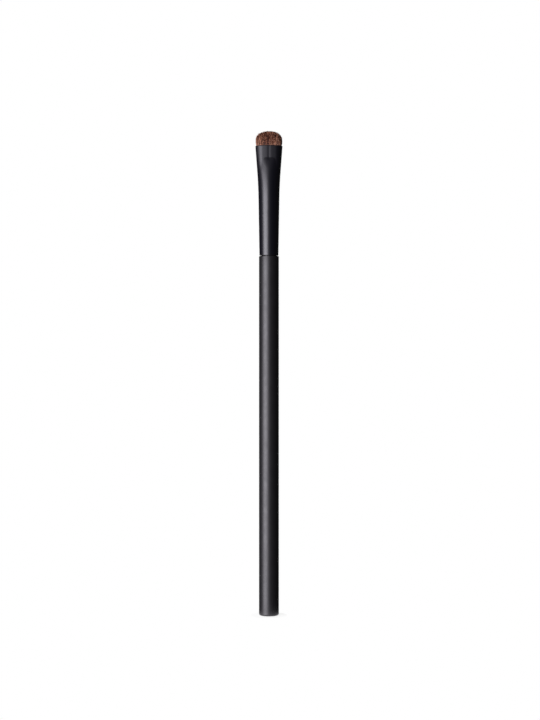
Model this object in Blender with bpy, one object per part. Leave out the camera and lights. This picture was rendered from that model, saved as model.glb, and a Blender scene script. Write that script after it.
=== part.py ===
"""Blending brush: a straight stick handle, a ferrule pressed flat at its mouth, and a domed tuft of hair.

The brush stands along +Z on its butt. The origin is the centre of the butt's flat face, and the pressed flats
of the ferrule face -Y and +Y. Lengths are in metres. Inside the ferrule, heights are counted up from its foot.
"""

import math
import random
from dataclasses import dataclass

import bmesh
import bpy
from mathutils import Matrix, Vector

# Facets round every turned or pressed piece, and along a rounded edge
SIDES = 48
ROUNDING_STEPS = 3
SHARP_ANGLE = math.radians(35.0)
MERGE_DISTANCE = 0.0000001

# Handle: the stick and the tenon that is glued into the ferrule
HANDLE_DIAMETER = 0.00712
HANDLE_LENGTH = 0.1289
BUTT_ROUNDING = 0.0006
SHOULDER_ROUNDING = 0.0003
TENON_DIAMETER = 0.0054
TENON_LENGTH = 0.014
TENON_CHAMFER = 0.0005
GROOVE_COUNT = 2
GROOVE_WIDTH = 0.001
GROOVE_DEPTH = 0.00025
GROOVE_PITCH = 0.0045

# Ferrule: a conical tube, pressed between parallel dies at its mouth
FERRULE_LENGTH = 0.0394
FERRULE_WALL = 0.0004
FOOT_DIAMETER = 0.00685
MOUTH_TUBE_DIAMETER = 0.00812
MOUTH_SPREAD = 0.00166
PRESS_LENGTH = 0.0189
PRESS_EASE_SHARE = 0.5
DIE_HEIGHT = 0.0044
FACET_HEIGHT = 0.0024
OVAL_LENGTH = 0.0054
LIP_ROUNDING = 0.00014
FOOT_ROUNDING = 0.00012
PRESS_STEPS = 7

# Tuft: strands fused to a slice of the packed hair
TUFT_SWELL = 0.00033
BELLY_HEIGHT = 0.0019
CROWN_HEIGHT = 0.00345
SLICE_SET_BACK = 0.0003
SLICE_THICKNESS = 0.0012
STRAND_SIDES = 3
STRAND_PITCH = 0.000325
STRAND_RADIUS = 0.000135
STRAND_ROOT_DEPTH = 0.0004
STRAND_SHIFT = 0.00001
STRAND_LENGTH_SPREAD = 0.00012
STRAND_BEND_SHARE = 0.06
STRAND_EDGE_SHARE = 0.96
FACE_ROUNDNESS = 3
STRAND_WAIST_SHARE = 0.65
STRAND_WAIST_RADIUS_SHARE = 0.85
STRAND_SEED = 7

# Hair roots, their thread and the resin round them
BUNDLE_HEIGHT = 0.0018
BUNDLE_TAPER = 0.001
NECK_LENGTH = 0.0066
THREAD_DIAMETER = 0.00035
THREAD_PITCH = 0.00085
THREAD_LOOPS = 5
POINTS_A_LOOP = 24
THREAD_SET_BACK = 0.0006
PLUG_BASE = 0.0032
CUP_DEPTH = 0.0014
MENISCUS_HEIGHT = 0.0004
MENISCUS_WIDTH = 0.0009

# Clearances
SEAM_GAP = 0.0003
HAIR_GAP = 0.0001
THREAD_GAP = 0.0001
BOND_GAP = 0.00006

# Places that follow from the sizes above
FERRULE_FOOT = HANDLE_LENGTH + SEAM_GAP
MOUTH_WIDTH = MOUTH_TUBE_DIAMETER + MOUTH_SPREAD
PRESS_START = FERRULE_LENGTH - PRESS_LENGTH
CREASE = FERRULE_LENGTH - DIE_HEIGHT
FACET_FOOT = CREASE - FACET_HEIGHT
HAIR_INSET = FERRULE_WALL + HAIR_GAP
THREAD_INSET = FERRULE_WALL + THREAD_GAP + THREAD_DIAMETER / 2
NECK_INSET = THREAD_INSET + THREAD_DIAMETER / 2 + THREAD_GAP
SLICE_TOP = FERRULE_LENGTH - SLICE_SET_BACK
SLICE_FOOT = SLICE_TOP - SLICE_THICKNESS
BUNDLE_TOP = SLICE_FOOT - HAIR_GAP
NECK_TOP = BUNDLE_TOP - BUNDLE_HEIGHT - BUNDLE_TAPER
KNOT_FOOT = NECK_TOP - NECK_LENGTH


@dataclass(frozen=True)
class Section:
    """A flat-sided oval, given by half its flat, half its width along X and half its depth along Y.

    Its oval share turns it towards an ellipse of the same width and depth.
    """

    flat: float
    width: float
    depth: float
    oval_share: float = 0.0

    def point(self, share):
        """The point at a share of the way round, counted from +X towards +Y."""
        quarter, along = divmod(share % 1.0 * 4.0, 1.0)
        if quarter % 2:
            along = 1.0 - along
        arc = self.depth * math.pi / 2.0
        walked = along * (arc + self.flat)
        if walked < arc:
            angle = walked / self.depth
            x = self.flat + (self.width - self.flat) * math.cos(angle)
            y = self.depth * math.sin(angle)
        else:
            x = self.flat + arc - walked
            y = self.depth
        turn = along * math.pi / 2.0
        x = between(x, self.width * math.cos(turn), self.oval_share)
        y = between(y, self.depth * math.sin(turn), self.oval_share)
        return (-x if quarter in (1, 2) else x), (-y if quarter >= 2 else y)

    def inset(self, distance):
        """The same section with its outline moved inwards."""
        return Section(self.flat, self.width - distance, self.depth - distance, self.oval_share)

    def depth_at(self, x):
        """Half the depth of a flat-sided section at a distance x from its middle."""
        beyond = max(abs(x) - self.flat, 0.0) / (self.width - self.flat)
        return self.depth * math.sqrt(max(1.0 - beyond * beyond, 0.0))


def between(low, high, share):
    """A value or a place part of the way from low to high."""
    return low + (high - low) * share


def eased(share):
    """A share of the way, held between 0 and 1, with a soft start and a soft end."""
    share = min(max(share, 0.0), 1.0)
    return share * share * (3.0 - 2.0 * share)


def press_share(height):
    """How much of the mouth's widening the tube has at a height: it starts gently and then grows evenly."""
    reach = max(height - PRESS_START, 0.0) / PRESS_LENGTH
    if reach < PRESS_EASE_SHARE:
        grown = reach * reach / (2.0 * PRESS_EASE_SHARE)
    else:
        grown = reach - PRESS_EASE_SHARE / 2.0
    return grown / (1.0 - PRESS_EASE_SHARE / 2.0)


def pressed_tube(height):
    """The tube's section where nothing but its girth shapes it: wider across X, so thinner across Y."""
    tube = between(FOOT_DIAMETER, MOUTH_TUBE_DIAMETER, height / FERRULE_LENGTH)
    width = (tube + (MOUTH_WIDTH - MOUTH_TUBE_DIAMETER) * press_share(height)) / 2.0
    depth = (math.pi * tube - 4.0 * width) / (2.0 * math.pi - 4.0)
    return Section(max(width - depth, 0.0), width, depth)


def ferrule_section(height):
    """The ferrule's outer section: parallel flats at the mouth, slanted facets below, then the oval tube."""
    free = pressed_tube(height)
    below = max(CREASE - height, 0.0)
    oval_share = eased(below / OVAL_LENGTH)
    if below >= FACET_HEIGHT:
        return Section(free.flat, free.width, free.depth, oval_share)
    foot = pressed_tube(FACET_FOOT)
    mouth = pressed_tube(FERRULE_LENGTH)
    share = 1.0 - below / FACET_HEIGHT
    flat = between(foot.flat, mouth.flat, share)
    depth = between(foot.depth, mouth.depth, share)
    return Section(flat, free.width, depth, oval_share)


def rounded(radius):
    """Steps round a quarter circle from its side to its end, as distances short of the two faces."""
    angles = [math.pi / 2.0 * step / ROUNDING_STEPS for step in range(ROUNDING_STEPS + 1)]
    return [(radius * (1.0 - math.cos(angle)), radius * (1.0 - math.sin(angle))) for angle in angles]


def material(name, colour, roughness, metallic=0.0):
    """A plain material of one colour and sheen."""
    made = bpy.data.materials.new(name)
    made.use_nodes = True
    shader = made.node_tree.nodes["Principled BSDF"]
    shader.inputs["Base Color"].default_value = (*colour, 1.0)
    shader.inputs["Roughness"].default_value = roughness
    shader.inputs["Metallic"].default_value = metallic
    made.diffuse_color = (*colour, 1.0)
    return made


def finish_mesh(name, bm, looks, parent, place):
    """Turns a bmesh into a named object under its parent, with outward faces and smooth shading."""
    bmesh.ops.recalc_face_normals(bm, faces=bm.faces)
    mesh = bpy.data.meshes.new(name)
    bm.to_mesh(mesh)
    bm.free()
    mesh.shade_smooth()
    mesh.set_sharp_from_angle(angle=SHARP_ANGLE)
    return finish_object(name, mesh, looks, parent, place)


def finish_object(name, data, looks, parent, place):
    """Links a named object that holds the mesh or curve, with its material and its place."""
    made = bpy.data.objects.new(name, data)
    data.materials.append(looks)
    bpy.context.scene.collection.objects.link(made)
    made.parent = parent
    made.location = (0.0, 0.0, place)
    return made


def turned(profile, closed):
    """A bmesh spun round Z from (radius, height) points. An open profile starts and ends on the axis."""
    bm = bmesh.new()
    verts = [bm.verts.new((radius, 0.0, height)) for radius, height in profile]
    edges = [bm.edges.new(pair) for pair in zip(verts, verts[1:])]
    if closed:
        edges.append(bm.edges.new((verts[-1], verts[0])))
    bmesh.ops.spin(
        bm,
        geom=verts + edges,
        cent=(0.0, 0.0, 0.0),
        axis=(0.0, 0.0, 1.0),
        angle=2.0 * math.pi,
        steps=SIDES,
        use_merge=True,
    )
    bmesh.ops.remove_doubles(bm, verts=bm.verts, dist=MERGE_DISTANCE)
    return bm


def place_ring(ring, height, inset):
    """Moves a ring of vertices to the ferrule's section at a height, drawn in by the inset."""
    section = ferrule_section(height).inset(inset)
    for index, vert in enumerate(ring):
        vert.co = (*section.point(index / SIDES), height)


def ring_edges(bm, ring):
    """The edges that join a ring's vertices in their order."""
    return [bm.edges.get(pair) for pair in zip(ring, ring[1:] + ring[:1])]


def neighbours(vert):
    """The vertices that share an edge with this one."""
    return [edge.other_vert(vert) for edge in vert.link_edges]


def lofted(profile, closed):
    """A bmesh through the ferrule's section at each (height, inset). An open profile gets two end faces."""
    bm = bmesh.new()
    ring = bmesh.ops.create_circle(bm, cap_ends=False, segments=SIDES, radius=MOUTH_WIDTH)["verts"]
    place_ring(ring, *profile[0])
    if not closed:
        bmesh.ops.contextual_create(bm, geom=ring_edges(bm, ring))
    for height, inset in profile[1:] + (profile[:1] if closed else []):
        risen = set(bmesh.ops.extrude_edge_only(bm, edges=ring_edges(bm, ring))["geom"])
        ring = [next(end for end in neighbours(vert) if end in risen) for vert in ring]
        place_ring(ring, height, inset)
    if closed:
        bmesh.ops.remove_doubles(bm, verts=bm.verts, dist=MERGE_DISTANCE)
    else:
        bmesh.ops.contextual_create(bm, geom=ring_edges(bm, ring))
    return bm


def tenon_grooves():
    """The lowest and highest point of each glue groove, from the shoulder up."""
    middle = HANDLE_LENGTH + TENON_LENGTH / 2.0
    for index in range(GROOVE_COUNT):
        centre = middle + (index - (GROOVE_COUNT - 1) / 2.0) * GROOVE_PITCH
        yield centre - GROOVE_WIDTH / 2.0, centre + GROOVE_WIDTH / 2.0


def make_handle(root):
    """The stick, with its rounded butt and shoulder and its grooved tenon, turned in one piece."""
    radius, tenon = HANDLE_DIAMETER / 2.0, TENON_DIAMETER / 2.0
    profile = [(0.0, 0.0)]
    profile += [(radius - side, end) for side, end in reversed(rounded(BUTT_ROUNDING))]
    profile += [(radius - side, HANDLE_LENGTH - end) for side, end in rounded(SHOULDER_ROUNDING)]
    profile += [(tenon, HANDLE_LENGTH)]
    for low, high in tenon_grooves():
        profile += [(tenon, low), (tenon - GROOVE_DEPTH, low + GROOVE_DEPTH)]
        profile += [(tenon - GROOVE_DEPTH, high - GROOVE_DEPTH), (tenon, high)]
    top = HANDLE_LENGTH + TENON_LENGTH
    profile += [(tenon, top - TENON_CHAMFER), (tenon - TENON_CHAMFER, top), (0.0, top)]
    looks = material("soft_touch_black", (0.018, 0.018, 0.02), 0.5)
    return finish_mesh("handle", turned(profile, closed=False), looks, root, 0.0)


def make_tenon_glue(handle):
    """The adhesive sleeve: its outside follows the ferrule's bore, its inside fills the tenon's grooves."""
    tenon = TENON_DIAMETER / 2.0 + BOND_GAP
    low, high = FERRULE_FOOT + BOND_GAP, HANDLE_LENGTH + TENON_LENGTH - TENON_CHAMFER
    bore = [ferrule_section(z - FERRULE_FOOT).depth - FERRULE_WALL - BOND_GAP for z in (low, high)]
    profile = [(tenon, high), (bore[1], high), (bore[0], low), (tenon, low)]
    for foot, head in tenon_grooves():
        foot, head = foot + BOND_GAP, head - BOND_GAP
        profile += [(tenon, foot), (tenon - GROOVE_DEPTH, foot + GROOVE_DEPTH)]
        profile += [(tenon - GROOVE_DEPTH, head - GROOVE_DEPTH), (tenon, head)]
    looks = material("clear_adhesive", (0.55, 0.5, 0.38), 0.3)
    return finish_mesh("tenon_glue", turned(profile, closed=True), looks, handle, 0.0)


def make_ferrule(root):
    """The tube from its foot up its outside, over the lip and back down its bore."""
    rises = [between(PRESS_START, FACET_FOOT, step / PRESS_STEPS) for step in range(PRESS_STEPS)]
    rises += [FACET_FOOT, between(FACET_FOOT, CREASE, 1.0 / 2.0), CREASE]
    profile = [(end, side) for side, end in reversed(rounded(FOOT_ROUNDING))]
    profile += [(height, 0.0) for height in rises]
    profile += [(FERRULE_LENGTH - end, side) for side, end in rounded(LIP_ROUNDING)]
    profile += [(FERRULE_LENGTH - end, FERRULE_WALL - side) for side, end in reversed(rounded(LIP_ROUNDING))]
    profile += [(height, FERRULE_WALL) for height in reversed(rises)]
    profile += [(0.0, FERRULE_WALL)]
    looks = material("black_anodised", (0.02, 0.02, 0.022), 0.35, 0.6)
    return finish_mesh("ferrule", lofted(profile, closed=True), looks, root, FERRULE_FOOT)


def strand_roots(section):
    """Places in rows of a close-packed pattern, wherever a strand fits inside the section."""
    row_pitch = STRAND_PITCH * math.sqrt(3.0) / 2.0
    rows = int(section.depth / row_pitch)
    columns = int(section.width / STRAND_PITCH) + 1
    for row in range(-rows, rows + 1):
        y = row * row_pitch
        for column in range(-columns, columns + 1):
            x = (column + row % 2 / 2.0) * STRAND_PITCH
            if abs(x) < section.width and abs(y) < section.depth_at(x):
                yield x, y


def add_strand(bm, root, belly, tip, turn):
    """A three-sided strand: straight to the tuft's belly, then drawn in past its waist to a point."""
    waist = Vector(between(belly, tip, STRAND_WAIST_SHARE))
    waist.xy = between(belly.xy, tip.xy, STRAND_WAIST_SHARE**2)
    made = bmesh.ops.create_cone(
        bm,
        cap_ends=True,
        segments=STRAND_SIDES,
        radius1=STRAND_RADIUS,
        radius2=STRAND_RADIUS,
        depth=belly.z - root.z,
    )["verts"]
    bmesh.ops.rotate(bm, verts=made, cent=(0.0, 0.0, 0.0), matrix=turn)
    lower = [vert for vert in made if vert.co.z < 0.0]
    upper = [vert for vert in made if vert.co.z > 0.0]
    for ring, centre in ((lower, root), (upper, belly)):
        for vert in ring:
            vert.co = (centre.x + vert.co.x, centre.y + vert.co.y, centre.z)
    cap = next(face for face in upper[0].link_faces if all(vert in upper for vert in face.verts))
    cap = bmesh.ops.extrude_discrete_faces(bm, faces=[cap])["faces"][0]
    for vert in cap.verts:
        vert.co = waist + (vert.co - belly) * STRAND_WAIST_RADIUS_SHARE
    cap = bmesh.ops.extrude_discrete_faces(bm, faces=[cap])["faces"][0]
    bmesh.ops.pointmerge(bm, verts=cap.verts, merge_co=tip)


def make_strands():
    """All the strands in one mesh, as the operand of the tuft's union. Their tips lie on the dome."""
    chance = random.Random(STRAND_SEED)
    base = ferrule_section(FERRULE_LENGTH).inset(HAIR_INSET + STRAND_RADIUS + STRAND_SHIFT)
    swollen = ferrule_section(FERRULE_LENGTH).inset(FERRULE_WALL - TUFT_SWELL)
    half_width, half_depth = swollen.width, swollen.depth
    spread = Vector(((half_width - STRAND_RADIUS) / base.width, (half_depth - STRAND_RADIUS) / base.depth))
    belly_section = Section(base.flat * spread.x, half_width - STRAND_RADIUS, half_depth - STRAND_RADIUS)
    bm = bmesh.new()
    count = 0
    for x, y in strand_roots(base):
        shift = Vector((chance.uniform(-1.0, 1.0), chance.uniform(-1.0, 1.0), 0.0)) * STRAND_SHIFT
        root = Vector((x, y, SLICE_TOP - STRAND_ROOT_DEPTH)) + shift
        belly = Vector((x * spread.x, y * spread.y, FERRULE_LENGTH + BELLY_HEIGHT)) + shift
        side_share = belly.x / half_width
        face_share = min(abs(belly.y) / max(belly_section.depth_at(belly.x), STRAND_RADIUS), 1.0)
        tip_x = belly.x * (1.0 - STRAND_BEND_SHARE * side_share**2)
        tip_y = belly.y * (1.0 - STRAND_BEND_SHARE * face_share**2)
        rise = CROWN_HEIGHT * math.sqrt(1.0 - (tip_x / half_width) ** 2)
        rise *= math.sqrt(1.0 - (face_share * STRAND_EDGE_SHARE) ** FACE_ROUNDNESS)
        rise = max(rise - chance.random() * STRAND_LENGTH_SPREAD, STRAND_RADIUS)
        tip = Vector((tip_x, tip_y, belly.z + rise))
        turn = Matrix.Rotation(chance.uniform(0.0, 2.0 * math.pi), 3, "Z")
        add_strand(bm, root, belly, tip, turn)
        count += 1
    print(f"tuft: {count} strands")
    bmesh.ops.recalc_face_normals(bm, faces=bm.faces)
    mesh = bpy.data.meshes.new("strands")
    bm.to_mesh(mesh)
    bm.free()
    return mesh


def make_hair_tuft(ferrule):
    """The free hair: a slice of the packed bundle with every strand joined to it."""
    looks = material("brown_hair", (0.13, 0.06, 0.04), 0.6)
    profile = [(SLICE_FOOT, HAIR_INSET), (SLICE_TOP, HAIR_INSET)]
    tuft = finish_mesh("hair_tuft", lofted(profile, closed=False), looks, ferrule, 0.0)
    strands = finish_object("strands", make_strands(), looks, ferrule, 0.0)
    strands.hide_render = True
    strands.display_type = "WIRE"
    join = tuft.modifiers.new("strands", "BOOLEAN")
    join.operation = "UNION"
    join.solver = "EXACT"
    join.object = strands
    return tuft


def make_hair_knot(ferrule):
    """The packed roots: as wide as the bore at the top, drawn in to the neck that the thread ties."""
    folds = [fold for fold in (FACET_FOOT, CREASE) if KNOT_FOOT < fold < NECK_TOP]
    profile = [(height, NECK_INSET) for height in (KNOT_FOOT, *folds, NECK_TOP)]
    profile += [(NECK_TOP + BUNDLE_TAPER, HAIR_INSET), (BUNDLE_TOP, HAIR_INSET)]
    looks = material("root_hair", (0.1, 0.045, 0.03), 0.7)
    return finish_mesh("hair_knot", lofted(profile, closed=False), looks, ferrule, 0.0)


def thread_path():
    """The thread's middle line: even turns up the neck, and each end runs straight on past the last turn."""
    start = KNOT_FOOT + CUP_DEPTH + THREAD_SET_BACK
    turns = []
    for step in range(THREAD_LOOPS * POINTS_A_LOOP + 1):
        share = step / POINTS_A_LOOP
        height = start + share * THREAD_PITCH
        turns.append(Vector((*ferrule_section(height).inset(THREAD_INSET).point(share), height)))
    first = turns[0] + (turns[0] - turns[1]).normalized() * THREAD_DIAMETER
    last = turns[-1] + (turns[-1] - turns[-2]).normalized() * THREAD_DIAMETER
    return [first, *turns, last]


def least_gap(points, diameter):
    """The least gap between the surfaces of turns of a tube that lie half a loop or more apart."""
    far = POINTS_A_LOOP // 2
    gaps = [(b - a).length for i, a in enumerate(points) for b in points[i + far :]]
    return min(gaps) - diameter


def make_binding_thread(ferrule):
    """The tying thread, one unbroken tube wound up the neck."""
    path = thread_path()
    print(f"thread: least gap to itself {least_gap(path, THREAD_DIAMETER) * 1000:.3f} mm")
    curve = bpy.data.curves.new("binding_thread", "CURVE")
    curve.dimensions = "3D"
    curve.bevel_depth = THREAD_DIAMETER / 2.0
    curve.bevel_resolution = 1
    curve.use_fill_caps = True
    spline = curve.splines.new("POLY")
    spline.points.add(len(path) - 1)
    for point, place in zip(spline.points, path):
        point.co = (*place, 1.0)
    looks = material("waxed_thread", (0.6, 0.55, 0.45), 0.8)
    return finish_object("binding_thread", curve, looks, ferrule, 0.0)


def make_root_plug(ferrule):
    """The resin: a cup round the foot of the knot, with a meniscus where it climbs the bore."""
    outer = FERRULE_WALL + BOND_GAP
    cup_floor = KNOT_FOOT - BOND_GAP
    foot = cup_floor - PLUG_BASE
    profile = [
        (foot + MENISCUS_HEIGHT, outer + MENISCUS_WIDTH),
        (foot, outer),
        (KNOT_FOOT + CUP_DEPTH, outer),
        (KNOT_FOOT + CUP_DEPTH, NECK_INSET - BOND_GAP),
        (cup_floor, NECK_INSET - BOND_GAP),
    ]
    looks = material("cured_resin", (0.5, 0.36, 0.16), 0.2)
    return finish_mesh("root_plug", lofted(profile, closed=False), looks, ferrule, 0.0)


def main():
    """Clears the scene and makes every piece of the brush."""
    for old in list(bpy.data.objects):
        bpy.data.objects.remove(old, do_unlink=True)
    root = bpy.data.objects.new("blending_brush", None)
    bpy.context.scene.collection.objects.link(root)
    handle = make_handle(root)
    make_tenon_glue(handle)
    ferrule = make_ferrule(root)
    make_hair_tuft(ferrule)
    make_hair_knot(ferrule)
    make_binding_thread(ferrule)
    make_root_plug(ferrule)


main()
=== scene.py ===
"""The looks of a long-handled blending brush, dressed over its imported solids.

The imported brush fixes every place: it stands along +Z on its butt, and the pressed flats of its ferrule
face -Y and +Y. The stick and the ferrule are turned and lofted again with finer surfaces, and the tuft is
made anew as several thousand tapered hairs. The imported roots, the thread, the resin and the glue inside
keep their solids and get their finishes. Everything is in metres.
"""

import logging
import math
from collections.abc import Callable
from dataclasses import dataclass, field, replace
from enum import Enum

import bmesh
import bpy
import numpy as np
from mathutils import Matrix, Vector


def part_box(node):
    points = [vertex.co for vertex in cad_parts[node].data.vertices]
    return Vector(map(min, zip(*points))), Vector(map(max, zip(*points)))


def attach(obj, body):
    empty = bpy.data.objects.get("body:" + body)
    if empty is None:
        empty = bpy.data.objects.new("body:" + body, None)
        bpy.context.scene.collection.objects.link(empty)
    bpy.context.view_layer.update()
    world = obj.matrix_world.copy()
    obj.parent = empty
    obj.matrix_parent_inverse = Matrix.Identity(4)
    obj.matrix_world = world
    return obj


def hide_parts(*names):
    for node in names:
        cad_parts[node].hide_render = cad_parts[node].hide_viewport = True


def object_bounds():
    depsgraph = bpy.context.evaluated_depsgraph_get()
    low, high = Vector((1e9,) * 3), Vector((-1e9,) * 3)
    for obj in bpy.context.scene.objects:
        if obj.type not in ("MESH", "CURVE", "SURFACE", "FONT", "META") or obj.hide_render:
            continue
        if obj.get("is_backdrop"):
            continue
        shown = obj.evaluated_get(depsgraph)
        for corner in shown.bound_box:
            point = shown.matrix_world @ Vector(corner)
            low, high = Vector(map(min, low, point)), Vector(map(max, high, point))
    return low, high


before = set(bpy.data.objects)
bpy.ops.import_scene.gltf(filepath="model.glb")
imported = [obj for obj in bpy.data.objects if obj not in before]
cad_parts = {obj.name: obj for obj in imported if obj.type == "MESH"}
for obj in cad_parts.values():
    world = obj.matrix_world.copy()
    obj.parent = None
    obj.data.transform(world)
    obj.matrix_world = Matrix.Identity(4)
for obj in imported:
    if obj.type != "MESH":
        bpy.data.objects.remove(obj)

LOG = logging.getLogger("blending_brush")
BODY = "root"
MERGE_DISTANCE = 0.0000001
SHARP_ANGLE = math.radians(40.0)
LEAST_DIVISOR = 1e-12
HAIR_MAP = "OFBake"

Colour = tuple[float, float, float]
Profile = list[tuple[float, float]]


class Slot(Enum):
    """The finishes that the record names."""

    LACQUER = "soft_touch_black"
    ANODISED = "black_anodised"
    HAIR = "brown_hair"
    THREAD = "waxed_thread"
    RESIN = "cured_resin"
    ADHESIVE = "clear_adhesive"


def between(low: float, high: float, share: float) -> float:
    """The value part of the way from low to high."""
    return low + (high - low) * share


def eased(value: float, start: float, end: float) -> float:
    """How far a value has come from start to end, from 0 to 1, with a soft start and a soft end."""
    share = min(max((value - start) / (end - start), 0.0), 1.0)
    return share * share * (3.0 - 2.0 * share)


def soft_least(first: float, second: float, reach: float) -> float:
    """The smaller of two values, with the corner between them rounded where they are within reach."""
    near = max(reach - abs(first - second), 0.0) / reach
    return min(first, second) - near * near * reach / 4.0


def rounded(radius: float, steps: int) -> Profile:
    """Steps round an edge's quarter circle, as distances short of its side face and of its end face."""
    angles = [math.pi / 2.0 * step / steps for step in range(steps + 1)]
    return [(radius * (1.0 - math.cos(angle)), radius * (1.0 - math.sin(angle))) for angle in angles]


class Wiring:
    """Adds nodes to one shader tree and joins their sockets."""

    mix_inputs = (6, 7)
    mix_output = 2

    def __init__(self, tree: bpy.types.NodeTree) -> None:
        """Starts on a tree."""
        self.tree = tree

    def add(self, kind: str, inputs: dict | None = None, **settings: object) -> bpy.types.Node:
        """Adds one node.

        Args:
            kind: The node's type, without its ShaderNode prefix.
            inputs: What each input gets, by name or number: an output socket to join it to, or a plain value.
            **settings: The node's own properties.

        Returns:
            The new node.
        """
        node = self.tree.nodes.new(f"ShaderNode{kind}")
        for name, value in settings.items():
            setattr(node, name, value)
        for name, value in (inputs or {}).items():
            if isinstance(value, bpy.types.NodeSocket):
                self.tree.links.new(value, node.inputs[name])
            else:
                node.inputs[name].default_value = value
        return node

    def math(self, operation: str, *values: object) -> bpy.types.NodeSocket:
        """Adds a Math node on the given sockets or numbers and returns its result."""
        return self.add("Math", dict(enumerate(values)), operation=operation).outputs[0]

    def ramp(self, share: bpy.types.NodeSocket, stops: list[tuple[float, Colour]]) -> bpy.types.NodeSocket:
        """Adds a colour ramp.

        Args:
            share: What the ramp is read by.
            stops: The place and the colour of each stop, in order.

        Returns:
            The ramp's colour.
        """
        node = self.add("ValToRGB", {0: share})
        elements = node.color_ramp.elements
        while len(elements) < len(stops):
            elements.new(1.0)
        for element, (place, colour) in zip(elements, stops):
            element.position = place
            element.color = (*colour, 1.0)
        return node.outputs[0]

    def mix(self, share: object, *colours: object) -> bpy.types.NodeSocket:
        """Adds a colour mix.

        Args:
            share: How much of the second colour there is.
            *colours: The two colours, each as a socket or as red, green and blue.

        Returns:
            The mixed colour.
        """
        inputs = {0: share}
        for number, colour in zip(self.mix_inputs, colours):
            inputs[number] = colour if isinstance(colour, bpy.types.NodeSocket) else (*colour, 1.0)
        return self.add("Mix", inputs, data_type="RGBA").outputs[self.mix_output]

    def noise(self, place: bpy.types.NodeSocket, scale: object, detail: float) -> bpy.types.NodeSocket:
        """Adds a noise texture and returns its value."""
        return self.add("TexNoise", {"Vector": place, "Scale": scale, "Detail": detail}).outputs[0]

    def span(
        self,
        value: object,
        start: object,
        end: object,
        low: object = 0.0,
        high: object = 1.0,
        soft: bool = False,
    ) -> bpy.types.NodeSocket:
        """Maps a value from start to end onto low to high, evenly or with soft ends, and returns it."""
        inputs = {"Value": value, "From Min": start, "From Max": end, "To Min": low, "To Max": high}
        return self.add("MapRange", inputs, interpolation_type="SMOOTHSTEP" if soft else "LINEAR").outputs[0]

    def rays(self) -> tuple[bpy.types.NodeSocket, bpy.types.NodeSocket]:
        """Adds the tests for a ray from the camera and for one that gloss or glass sends."""
        path = self.add("LightPath").outputs
        return path["Is Camera Ray"], self.math("MAXIMUM", path["Is Glossy Ray"], path["Is Transmission Ray"])


class Effects:
    """The shader groups that several finishes share, each built once."""

    noise_ends = (0.3, 0.7)
    patch_ends = (0.4, 0.62)
    mottle_detail = 3.0
    line_detail = 2.0
    patch_detail = 4.0

    def __init__(self) -> None:
        """Builds every group."""
        self.mottle = self._mottle()
        self.lines = self._lines()
        self.rub_and_highlight = self._rub_and_highlight()

    @staticmethod
    def _group(name: str, floats: list[str], output: str) -> tuple[Wiring, dict, Callable]:
        """Starts a group that reads coordinates.

        Args:
            name: The group's name.
            floats: The names of its number inputs.
            output: The name of its one output.

        Returns:
            Its wiring, its input sockets by name, and a function that joins the output.
        """
        tree = bpy.data.node_groups.new(name, "ShaderNodeTree")
        tree.interface.new_socket("Coordinates", in_out="INPUT", socket_type="NodeSocketVector")
        for label in floats:
            tree.interface.new_socket(label, in_out="INPUT", socket_type="NodeSocketFloat")
        tree.interface.new_socket(output, in_out="OUTPUT", socket_type="NodeSocketFloat")
        entry, leave = tree.nodes.new("NodeGroupInput"), tree.nodes.new("NodeGroupOutput")
        return Wiring(tree), entry.outputs, lambda socket: tree.links.new(socket, leave.inputs[output])

    def _mottle(self) -> bpy.types.NodeTree:
        """Builds soft blotches of a given Size, whose Value runs from Low to High.

        Returns:
            The group.
        """
        wiring, inputs, leave = self._group("soft_mottle", ["Size", "Low", "High"], "Value")
        scale = wiring.math("DIVIDE", 1.0, inputs["Size"])
        noise = wiring.noise(inputs["Coordinates"], scale, self.mottle_detail)
        leave(wiring.span(noise, *self.noise_ends, inputs["Low"], inputs["High"]))
        return wiring.tree

    def _lines(self) -> bpy.types.NodeTree:
        """Builds fine lines along Z, a Pitch apart and a Length long, whose Value runs from Low to High.

        Returns:
            The group.
        """
        wiring, inputs, leave = self._group("drawn_lines", ["Pitch", "Length", "Low", "High"], "Value")
        across, along = (wiring.math("DIVIDE", 1.0, inputs[name]) for name in ("Pitch", "Length"))
        scale = wiring.add("CombineXYZ", {0: across, 1: across, 2: along}).outputs[0]
        place = wiring.add("VectorMath", {0: inputs["Coordinates"], 1: scale}, operation="MULTIPLY")
        noise = wiring.noise(place.outputs[0], 1.0, self.line_detail)
        leave(wiring.span(noise, *self.noise_ends, inputs["Low"], inputs["High"]))
        return wiring.tree

    def _rub_and_highlight(self) -> bpy.types.NodeTree:
        """Builds a patchy mask within Reach of a Lower and an Upper edge, given as heights: handling wear,
        and on the anodised tube also a painted edge highlight.

        Returns:
            The group.
        """
        wiring, inputs, leave = self._group("edge_rub_and_highlight", ["Lower", "Upper", "Reach", "Grain"], "Mask")
        height = wiring.add("SeparateXYZ", {0: inputs["Coordinates"]}).outputs[2]
        offsets = [wiring.math("SUBTRACT", height, inputs[name]) for name in ("Lower", "Upper")]
        nearest = wiring.math("MINIMUM", *[wiring.math("ABSOLUTE", offset) for offset in offsets])
        edge = wiring.span(nearest, 0.0, inputs["Reach"], 1.0, 0.0, soft=True)
        scale = wiring.math("DIVIDE", 1.0, inputs["Grain"])
        noise = wiring.noise(inputs["Coordinates"], scale, self.patch_detail)
        leave(wiring.math("MULTIPLY", edge, wiring.span(noise, *self.patch_ends)))
        return wiring.tree


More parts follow.
